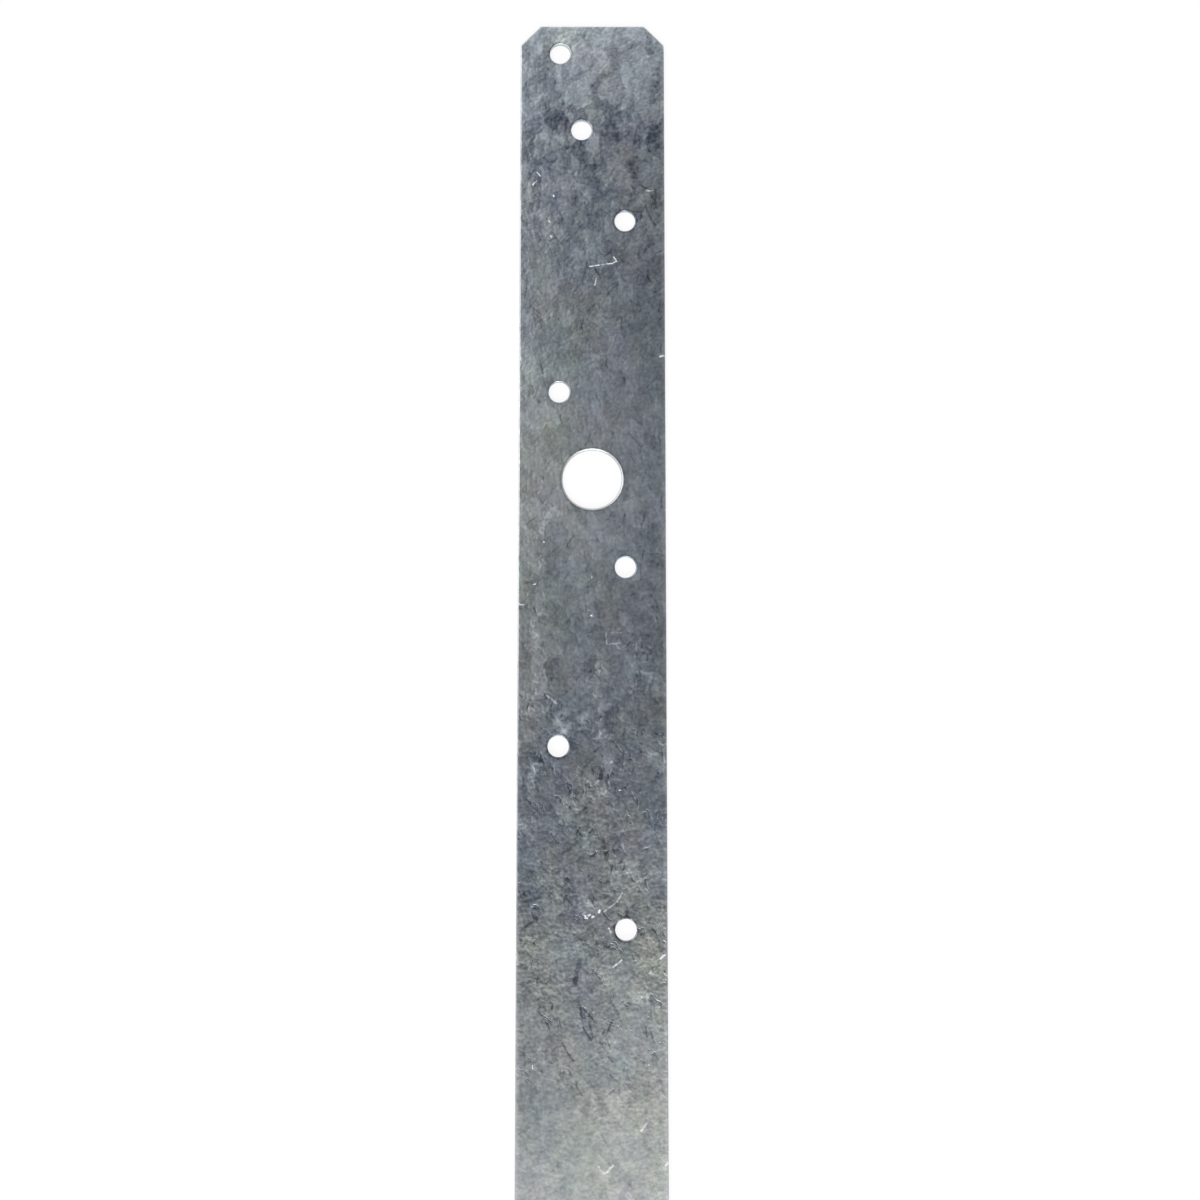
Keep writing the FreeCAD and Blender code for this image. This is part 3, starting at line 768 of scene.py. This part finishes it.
        colour = node("ShaderNodeMix", {0: share, 6: colour, 7: linearColour(shade)},
                      data_type="RGBA").outputs[2]
    rough = node("ShaderNodeMapRange", {
        "Value": crystalChance.outputs[1], "To Min": coat["roughness"][0], "To Max": coat["roughness"][1]})
    rough = node("ShaderNodeMath", {0: strokes, 1: coat["strokeRough"], 2: rough}, operation="MULTIPLY_ADD")
    rough = node("ShaderNodeMath", {0: bright, 1: coat["brightRough"], 2: rough}, operation="MULTIPLY_ADD")

    # relief in mm, shaded as a bump
    mottleRelief = coat["mottleRelief"][0]
    for zone, number in ((cluster, 1), (paleEnd, 2)):
        mottleRelief = node("ShaderNodeMath", {0: zone, 1: coat["mottleRelief"][number], 2: mottleRelief},
                            operation="MULTIPLY_ADD")
    grainRelief = node("ShaderNodeMath", {0: paleEnd, 1: coat["grainRelief"][1], 2: coat["grainRelief"][0]},
                       operation="MULTIPLY_ADD")
    height = node("ShaderNodeMath", {0: mottle, 1: mottleRelief}, operation="MULTIPLY")
    for source, amount in ((grain, grainRelief), (crease, coat["creaseRelief"]),
                           (strokes, coat["strokeRelief"]), (flake, coat["flakeRelief"])):
        height = node("ShaderNodeMath", {0: source, 1: amount, 2: height}, operation="MULTIPLY_ADD")
    bump = node("ShaderNodeBump", {"Strength": 1.0, "Distance": mm, "Height": height})
    shader = node("ShaderNodeBsdfPrincipled", {
        "Base Color": colour, "Metallic": 1.0, "Roughness": rough, "Normal": bump})
    node("ShaderNodeOutputMaterial", {"Surface": shader})
    return material


# bare steel of the cut walls: lengths in mm
cutSteel = {
    "grey": "CDCFCF",
    "tearSize": 0.12,         # width of the upright tear lines
    "tearPerMm": 0.6,         # pace of their change up the wall
    "tearLimits": (0.3, 0.7),     # pattern value of the darkest and of the palest line
    "tearTone": (0.75, 1.1),
    "relief": 0.02,
    "reliefStrength": 0.6,
    "roughness": 0.35,
}


def shearedSteel(cut):
    # bare steel wall left by the shear and the punch: brighter than the dull zinc, with upright tear lines
    material, node = newMaterial("shearedSteel")
    where = node("ShaderNodeTexCoord")
    upright = node("ShaderNodeMapping", {
        "Vector": where.outputs["Object"],
        "Scale": (1 / (cut["tearSize"] * mm), 1 / (cut["tearSize"] * mm), cut["tearPerMm"] / mm)})
    tear = node("ShaderNodeTexNoise", {"Vector": upright, "Scale": 1.0, "Detail": 3.0})
    tone = node("ShaderNodeMapRange", {
        "Value": tear, "From Min": cut["tearLimits"][0], "From Max": cut["tearLimits"][1],
        "To Min": cut["tearTone"][0], "To Max": cut["tearTone"][1]})
    toned = node("ShaderNodeVectorMath", {0: linearColour(cut["grey"])[:3], "Scale": tone},
                 operation="SCALE")
    bump = node("ShaderNodeBump", {
        "Strength": cut["reliefStrength"], "Distance": cut["relief"] * mm, "Height": tear})
    shader = node("ShaderNodeBsdfPrincipled", {
        "Base Color": toned, "Metallic": 1.0, "Roughness": cut["roughness"], "Normal": bump})
    node("ShaderNodeOutputMaterial", {"Surface": shader})
    return material


patches = buildStrapSheet(strapSheet)
points, faces, cutFaces = weldPatches(patches)
points = wanderAndRipple(strapSheet, points)
finishes = (zincCoatedSteel(zincCoat), shearedSteel(cutSteel))
strap = makePiece("strap_sheet", strapSheet, points, faces, cutFaces, finishes)
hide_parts("strap")
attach(strap, "root")
print(f"strap sheet: {len(points)} points, {2 * len(faces)} triangles")


# studio: white floor, pale surround that is dim overhead and on the right, soft lamps
studio = {
    "floorSize": 40.0,        # m
    "floorDrop": 0.02,        # mm under the strap
    "floorGrey": "F8F8F8",
    "floorGlow": 0.85,        # share of the floor's white that doesn't depend on the lamps
    "dimPatches": (
        # middle of the patch, degrees from it where it starts to fade and where it ends, level
        {"axis": (0.11, 0.185, 1.0), "angle": (23.5, 30.0), "level": 0.25},
        {"axis": (1.0, 0.15, 0.75), "angle": (20.0, 40.0), "level": 0.38},
    ),
}


def paleFloor(stage):
    # matt white board; to the eye part of its white is steady, so that only the contact shadow shows on it
    material, node = newMaterial("paleFloor")
    path = node("ShaderNodeLightPath")
    seen = node("ShaderNodeMath", {0: path.outputs["Is Camera Ray"], 1: path.outputs["Is Glossy Ray"]},
                operation="MAXIMUM")
    seen = node("ShaderNodeMath", {0: seen, 1: path.outputs["Is Transmission Ray"]}, operation="MAXIMUM")
    share = node("ShaderNodeMath", {0: seen, 1: stage["floorGlow"]}, operation="MULTIPLY")
    paint = node("ShaderNodeBsdfDiffuse", {"Color": linearColour(stage["floorGrey"])})
    glow = node("ShaderNodeEmission", {"Color": (1, 1, 1, 1), "Strength": 1.0})
    mixed = node("ShaderNodeMixShader", {0: share, 1: paint, 2: glow})
    node("ShaderNodeOutputMaterial", {"Surface": mixed})
    return material


def buildFloor(stage):
    half = stage["floorSize"] / 2
    corner = np.array(((-1, -1), (1, -1), (1, 1), (-1, 1))) * half
    height = np.full((4, 1), -stage["floorDrop"] * mm)
    mesh = bpy.data.meshes.new("floor")
    mesh.from_pydata(np.hstack((corner, height)).tolist(), [], [(0, 1, 2, 3)])
    mesh.materials.append(paleFloor(stage))
    floor = bpy.data.objects.new("floor", mesh)
    bpy.context.scene.collection.objects.link(floor)


def buildSurround(stage):
    # white all round, with dim patches: in each, brightness follows the angle from the patch's middle
    world = bpy.data.worlds.new("surround")
    bpy.context.scene.world = world
    world.use_nodes = True
    world.node_tree.nodes.clear()
    node = functools.partial(addNode, world.node_tree)
    way = node("ShaderNodeTexCoord").outputs["Generated"]
    level = 1.0
    for patch in stage["dimPatches"]:
        middle = Vector(patch["axis"]).normalized()
        nearness = node("ShaderNodeVectorMath", {0: way, 1: middle}, operation="DOT_PRODUCT")
        inner, outer = (math.cos(math.radians(angle)) for angle in patch["angle"])
        level = node("ShaderNodeMapRange", {
            "Value": nearness.outputs["Value"], "From Min": outer, "From Max": inner,
            "To Min": level, "To Max": patch["level"]}, interpolation_type="SMOOTHSTEP")
    back = node("ShaderNodeBackground", {"Color": (1, 1, 1, 1), "Strength": level})
    node("ShaderNodeOutputWorld", {"Surface": back})


lamps = (
    # name, place in m, aim in m, width and height in m, watts
    ("leftSoftbox", (-0.65, 0.45, 0.75), (0, 0.1, 0), (0.9, 0.9), 2.4),
    ("lowSoftbox", (0.0, -1.1, 0.80), (0, 0.1, 0), (1.2, 0.7), 11.0),
)


def buildLamps():
    for name, place, aim, size, watts in lamps:
        light = bpy.data.lights.new(name, "AREA")
        light.shape = "RECTANGLE"
        light.size, light.size_y = size
        light.energy = watts
        lamp = bpy.data.objects.new(name, light)
        lamp.location = place
        lamp.rotation_euler = (Vector(aim) - Vector(place)).to_track_quat("-Z", "Y").to_euler()
        lamp.visible_camera = False
        bpy.context.scene.collection.objects.link(lamp)


shot = {
    "lens": 35.0,             # mm
    "sensor": 36.0,           # mm
    "clipStart": 0.01,        # m
    "tilt": 4.4,              # degrees that the camera looks up the strap from straight down
    "distance": 249.0,        # mm from the lens to the middle of the picture
    "middle": (1.70, 100.90),     # mm, the point of the front face in the middle of the picture
}


def buildCamera(view):
    data = bpy.data.cameras.new("camera")
    data.lens = view["lens"]
    data.sensor_width = view["sensor"]
    data.clip_start = view["clipStart"]
    camera = bpy.data.objects.new("camera", data)
    tilt = math.radians(view["tilt"])
    middle = Vector((*view["middle"], thickness))
    camera.location = (middle + view["distance"] * Vector((0, -math.sin(tilt), math.cos(tilt)))) * mm
    camera.rotation_euler = (tilt, 0, 0)
    bpy.context.scene.collection.objects.link(camera)
    bpy.context.scene.camera = camera


buildFloor(studio)
buildSurround(studio)
buildLamps()
buildCamera(shot)
bpy.context.scene.view_settings.view_transform = "Standard"
print("studio set")
